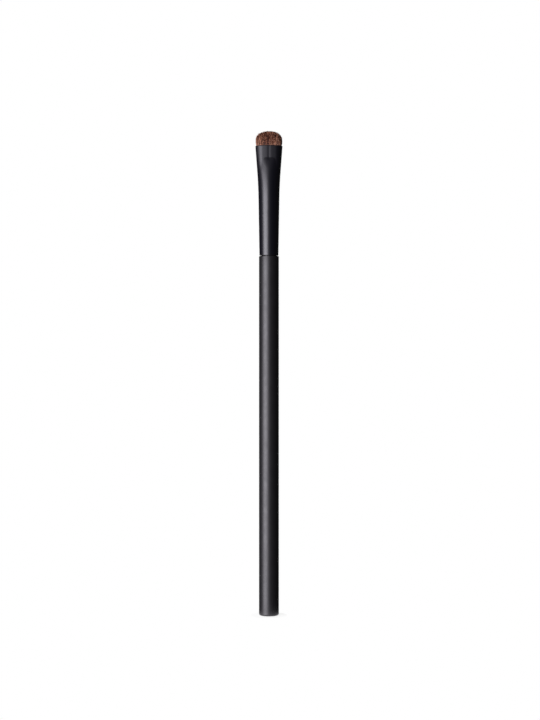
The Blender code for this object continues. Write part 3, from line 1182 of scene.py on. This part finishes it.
    def wander(
        self, lock: np.ndarray, centres: np.ndarray, height: np.ndarray, free: np.ndarray
    ) -> np.ndarray:
        """Lets the hairs and their locks sway, splay and tilt as they rise out of the mouth.

        Args:
            lock: The number of each hair's lock.
            centres: The X and Y of every lock.
            height: The heights, by hair and ring.
            free: How free the hair is at each of them, from 0 to 1.

        Returns:
            The sideways shifts by hair, ring and axis.
        """
        shift = self.sway(len(centres), self.clump_wave, height)[lock] * free
        shift += self.sway(len(lock), self.hair_wave, height) * free
        shift += self.chance.normal(0.0, self.splay, (len(lock), 1, 2)) * free
        tilt = self.chance.normal(0.0, self.clump_tilt, (len(centres), 2)) * self.slack(centres)
        return shift + tilt[lock][:, None, :] * np.maximum(height - self.lip, 0.0)[:, :, None]

    def sway(self, count: int, reach: float, height: np.ndarray) -> np.ndarray:
        """Bends things gently to and fro as they rise.

        Args:
            count: How many things sway, each its own way.
            reach: How far they sway.
            height: The heights, by hair and ring.

        Returns:
            The sideways shifts by thing, ring and axis.
        """
        turn = self.chance.uniform(0.0, 2.0 * math.pi, (count, 1, 2))
        wave = self.wave_length + self.chance.random((count, 1, 2)) * self.wave_length_spread
        level = np.linspace(0.0, self.top - self.lip, height.shape[1])[None, :, None]
        return reach * np.sin(turn + level * 2.0 * math.pi / wave)

    def template(self) -> bpy.types.Mesh:
        """Makes one upright unit hair: a cone with its point cut off, in a ring for each height.

        Returns:
            Its mesh, one metre a ring and one metre in radius at the foot.
        """
        bm = bmesh.new()
        count = len(self.ring_shares) + 1
        bmesh.ops.create_cone(
            bm, cap_ends=True, segments=self.sides, radius1=1.0, radius2=self.tip_share, depth=count - 1.0
        )
        bmesh.ops.translate(bm, verts=bm.verts, vec=(0.0, 0.0, (count - 1.0) / 2.0))
        for ring in range(1, count - 1):
            geometry = list(bm.verts) + list(bm.edges) + list(bm.faces)
            bmesh.ops.bisect_plane(
                bm, geom=geometry, dist=MERGE_DISTANCE, plane_co=(0.0, 0.0, ring), plane_no=(0.0, 0.0, 1.0)
            )
        bmesh.ops.recalc_face_normals(bm, faces=bm.faces)
        return new_mesh("unit_hair", bm)

    def build(self, looks: bpy.types.Material) -> list[bpy.types.Object]:
        """Grows every hair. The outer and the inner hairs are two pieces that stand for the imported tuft.

        Args:
            looks: The hair's material.

        Returns:
            The two pieces.
        """
        roots = self.roots()
        lock, centres = self.clumps(roots)
        paths = self.paths(roots, lock, centres)
        cell = lock * self.hair_tones + self.chance.integers(0, self.hair_tones, len(roots))
        width = self.hair_diameter / 2.0 * self.chance.uniform(self.width_least, self.width_most, len(roots))
        turn = self.chance.uniform(0.0, 2.0 * math.pi, len(roots))
        core = self.reach(*roots.T) < self.core_share
        template = self.template()
        pieces = []
        for name, chosen in (("outer_hairs", ~core), ("inner_hairs", core)):
            hairs = HairCopies(template, paths[chosen], width[chosen], turn[chosen], cell[chosen])
            pieces.append(hairs.piece(name, self, looks))
            LOG.info("%s: %d hairs", name, int(chosen.sum()))
        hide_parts("hair_tuft")
        bpy.data.meshes.remove(template)
        return pieces

    def dress(self, effects: Effects) -> bpy.types.Material:
        """Makes the hair's finish."""
        return NaturalHair().material(effects, self.lock_count, self.hair_tones, self.top - self.foot)


@dataclass
class HairCopies:
    """Copies of the unit hair, each bent along its own path."""

    template: bpy.types.Mesh
    paths: np.ndarray
    width: np.ndarray
    turn: np.ndarray
    cell: np.ndarray

    def piece(self, name: str, tuft: Tuft, looks: bpy.types.Material) -> bpy.types.Object:
        """Makes the piece.

        Args:
            name: The piece's name.
            tuft: The tuft that the hairs belong to.
            looks: The hair's material.

        Returns:
            One object with a closed tube for every hair.
        """
        bm = bmesh.new()
        for _ in range(len(self.paths)):
            bm.from_mesh(self.template)
        mesh = new_mesh(name, bm)
        unit = np.array([vert.co for vert in self.template.vertices])
        ring = np.rint(unit[:, 2]).astype(int)
        angle = np.arctan2(unit[:, 1], unit[:, 0])
        side = np.rint((angle - math.pi / 2.0) / (2.0 * math.pi) * tuft.sides).astype(int)
        rise = np.linspace(0.0, 1.0, ring.max() + 1)
        taper = np.clip((rise - tuft.taper_start_share) / (1.0 - tuft.taper_start_share), 0.0, 1.0)
        thick = 1.0 - (1.0 - tuft.tip_share) * taper**tuft.taper_power
        reach = (self.width[:, None] * thick[ring])[:, :, None]
        swing = self.turn[:, None] + angle
        around = np.stack([np.cos(swing), np.sin(swing), np.zeros_like(swing)], axis=2)
        places = self.paths[:, ring, :] + reach * around
        mesh.vertices.foreach_set("co", places.astype(np.float32).ravel())
        mesh.polygons.foreach_set("use_smooth", np.ones(len(mesh.polygons), dtype=bool))
        self.lay_map(mesh, tuft, side % tuft.sides, places[:, :, 2])
        mesh.update()
        return place_piece(mesh, looks)

    def lay_map(self, mesh: bpy.types.Mesh, tuft: Tuft, side: np.ndarray, height: np.ndarray) -> None:
        """Lays the hairs out flat: each within its cell across the map, and up it by height.

        Args:
            mesh: The mesh of all the copies.
            tuft: The tuft that the hairs belong to.
            side: The side of the unit hair that each of its vertices lies on.
            height: The height of every vertex, by hair.
        """
        corner_vert, corner_side, corner_step = [], [], []
        for polygon in self.template.polygons:
            sides = [side[index] for index in polygon.vertices]
            closing = 0 in sides and tuft.sides - 1 in sides and len(set(sides)) == 2
            for order, index in enumerate(polygon.vertices):
                corner_vert.append(index)
                corner_side.append(tuft.sides if closing and side[index] == 0 else side[index])
                corner_step.append(order if len(set(sides)) > 2 else 0)
        inside = (1.0 - tuft.map_share) / 2.0 + tuft.map_share * np.array(corner_side) / tuft.sides
        across = (self.cell[:, None] + inside) / (tuft.lock_count * tuft.hair_tones)
        up = (height[:, corner_vert] - tuft.foot) / (tuft.top - tuft.foot)
        up = np.clip(up + np.array(corner_step) * tuft.cap_share, 0.0, 1.0)
        flat = mesh.uv_layers.new(name=HAIR_MAP)
        flat.data.foreach_set("uv", np.stack([across, up], axis=2).astype(np.float32).ravel())


@dataclass
class Fillings:
    """What the ferrule hides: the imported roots, their thread, the potting resin and the tenon's glue."""

    effects: Effects
    roots: PackedRoots = PackedRoots()
    twine: CastFinish = CastFinish(
        name="waxed_twine",
        dark=(0.42, 0.36, 0.25),
        light=(0.62, 0.56, 0.42),
        roughness=0.62,
        ior=1.45,
        blotch=0.0006,
        grain=0.00006,
        grain_depth=0.000015,
    )
    resin: CastFinish = CastFinish(
        name="cured_resin",
        dark=(0.36, 0.2, 0.06),
        light=(0.55, 0.35, 0.13),
        roughness=0.22,
        ior=1.52,
        blotch=0.0015,
        grain=0.0003,
        grain_depth=0.000004,
    )
    adhesive: CastFinish = CastFinish(
        name="adhesive_film",
        dark=(0.48, 0.42, 0.29),
        light=(0.62, 0.57, 0.43),
        roughness=0.32,
        ior=1.48,
        blotch=0.0012,
        grain=0.0002,
        grain_depth=0.000004,
    )

    def dress(self) -> None:
        """Gives each packed filling its finish."""
        fillings = (
            ("hair_knot", self.roots, Slot.HAIR),
            ("binding_thread", self.twine, Slot.THREAD),
            ("root_plug", self.resin, Slot.RESIN),
            ("tenon_glue", self.adhesive, Slot.ADHESIVE),
        )
        for name, finish, slot in fillings:
            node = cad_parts[name]
            node.data.materials.clear()
            node.data.materials.append(finish.material(self.effects))
            LOG.info("%s: %s", name, type(finish).__name__)


@dataclass
class Studio:
    """A pale floor, a tall soft lamp at the left and a dim one behind, dim surroundings and the camera."""

    axis_shift: float = 0.00038
    distance: float = 0.55
    eye_height: float = 0.09168
    picture_height: float = 0.2588
    sensor: float = 36.0
    lamp_distance: float = 0.8
    lamp_low: float = -0.2
    lamp_high: float = 0.3
    white_power: float = 4.0
    key_turn: float = math.radians(41.4)
    key_width: float = 0.7
    key_radiance: float = 4.9
    rear_width: float = 0.36
    rear_radiance: float = 2.2
    surround: float = 0.024
    ambient: float = 0.1
    near_clip: float = 0.0055
    back_full: float = math.radians(5.0)
    back_end: float = math.radians(18.0)
    floor_radius: float = 0.0065
    floor_sides: int = 96
    floor_glow: float = 0.8
    floor_white: float = 0.8

    def build(self) -> None:
        """Sets up the whole studio."""
        bpy.context.scene.view_settings.view_transform = "Standard"
        self.build_camera()
        self.hang_lamp("key", self.key_turn, self.key_width, self.key_radiance)
        self.hang_lamp("rear", math.pi, self.rear_width, self.rear_radiance)
        self.build_world()
        self.build_floor()

    def build_camera(self) -> None:
        """Stands the camera level in front of the brush, so that the picture takes in the given height."""
        data = bpy.data.cameras.new("camera")
        data.sensor_width = self.sensor
        data.lens = self.sensor * self.distance / self.picture_height
        data.clip_start = self.near_clip
        camera = bpy.data.objects.new("camera", data)
        camera.location = (self.axis_shift, -self.distance, self.eye_height)
        camera.rotation_euler = (math.pi / 2.0, 0.0, 0.0)
        bpy.context.scene.collection.objects.link(camera)
        bpy.context.scene.camera = camera

    def hang_lamp(self, name: str, turn: float, width: float, radiance: float) -> None:
        """Hangs a tall soft lamp that faces the brush.

        Args:
            name: The lamp's name.
            turn: How far round to the left of the camera it hangs, as an angle.
            width: Its width.
            radiance: Its brightness to the eye, where 1 is white.
        """
        data = bpy.data.lights.new(name, "AREA")
        data.shape = "RECTANGLE"
        data.size = width
        data.size_y = self.lamp_high - self.lamp_low
        data.energy = radiance * self.white_power * data.size * data.size_y
        lamp = bpy.data.objects.new(name, data)
        towards = Vector((math.sin(turn), math.cos(turn), 0.0))
        middle = Vector((0.0, 0.0, (self.lamp_low + self.lamp_high) / 2.0))
        lamp.location = middle - towards * self.lamp_distance
        lamp.rotation_euler = towards.to_track_quat("-Z", "Y").to_euler()
        lamp.visible_camera = False
        bpy.context.scene.collection.objects.link(lamp)

    def build_world(self) -> None:
        """Makes the surroundings: white to the camera, and to gloss a white backdrop in a dim room."""
        world = bpy.data.worlds.new("studio")
        bpy.context.scene.world = world
        world.use_nodes = True
        world.cycles.sampling_method = "NONE"
        wiring = Wiring(world.node_tree)
        camera, gloss = wiring.rays()
        direction = wiring.add("TexCoord").outputs["Generated"]
        unit = wiring.add("VectorMath", {0: direction}, operation="NORMALIZE").outputs[0]
        depth = wiring.add("SeparateXYZ", {0: unit}).outputs[1]
        start, end = math.cos(self.back_end), math.cos(self.back_full)
        backdrop = wiring.span(depth, start, end, low=self.surround, soft=True)
        dim = wiring.span(gloss, 0.0, 1.0, self.ambient, backdrop)
        strength = wiring.span(camera, 0.0, 1.0, dim, 1.0)
        background = world.node_tree.nodes["Background"]
        background.inputs["Color"].default_value = (1.0, 1.0, 1.0, 1.0)
        world.node_tree.links.new(strength, background.inputs["Strength"])

    def build_floor(self) -> None:
        """Lays a small pale disc under the brush, just white to the camera where nothing shades it."""
        bm = bmesh.new()
        bmesh.ops.create_circle(bm, cap_ends=True, segments=self.floor_sides, radius=self.floor_radius)
        floor = bpy.data.objects.new("floor", new_mesh("floor", bm))
        bpy.context.scene.collection.objects.link(floor)
        looks = bpy.data.materials.new("pale_floor")
        looks.use_nodes = True
        looks.cycles.emission_sampling = "NONE"
        wiring = Wiring(looks.node_tree)
        wiring.tree.nodes.remove(wiring.tree.nodes["Principled BSDF"])
        seen = wiring.math("MAXIMUM", *wiring.rays())
        glow = wiring.add("Emission", {"Strength": wiring.math("MULTIPLY", seen, self.floor_glow)}).outputs[0]
        matt = wiring.add("BsdfDiffuse", {"Color": (*[self.floor_white] * 3, 1.0)}).outputs[0]
        both = wiring.add("AddShader", {0: glow, 1: matt}).outputs[0]
        wiring.tree.links.new(both, wiring.tree.nodes["Material Output"].inputs["Surface"])
        floor.data.materials.append(looks)
        floor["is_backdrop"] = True


def plain(corners: tuple[Vector, Vector]) -> list[list[float]]:
    """A box's two corners as plain lists."""
    return [list(corner) for corner in corners]


def main(packed_box: list[list[float]]) -> None:
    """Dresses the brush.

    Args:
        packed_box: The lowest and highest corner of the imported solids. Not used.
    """
    logging.basicConfig(level=logging.INFO, format="%(name)s: %(message)s")
    Studio().build()
    effects = Effects()
    stick = Stick.from_frame()
    LOG.info("%s", stick.build(stick.dress(effects)).name)
    ferrule = Ferrule.from_frame()
    LOG.info("%s", ferrule.build(ferrule.dress(effects)).name)
    tuft = Tuft.from_frame(ferrule)
    for piece in tuft.build(tuft.dress(effects)):
        LOG.info("%s: %d faces", piece.name, len(piece.data.polygons))
    Fillings(effects).dress()


if __name__ == "__main__":
    main(plain(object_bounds()))
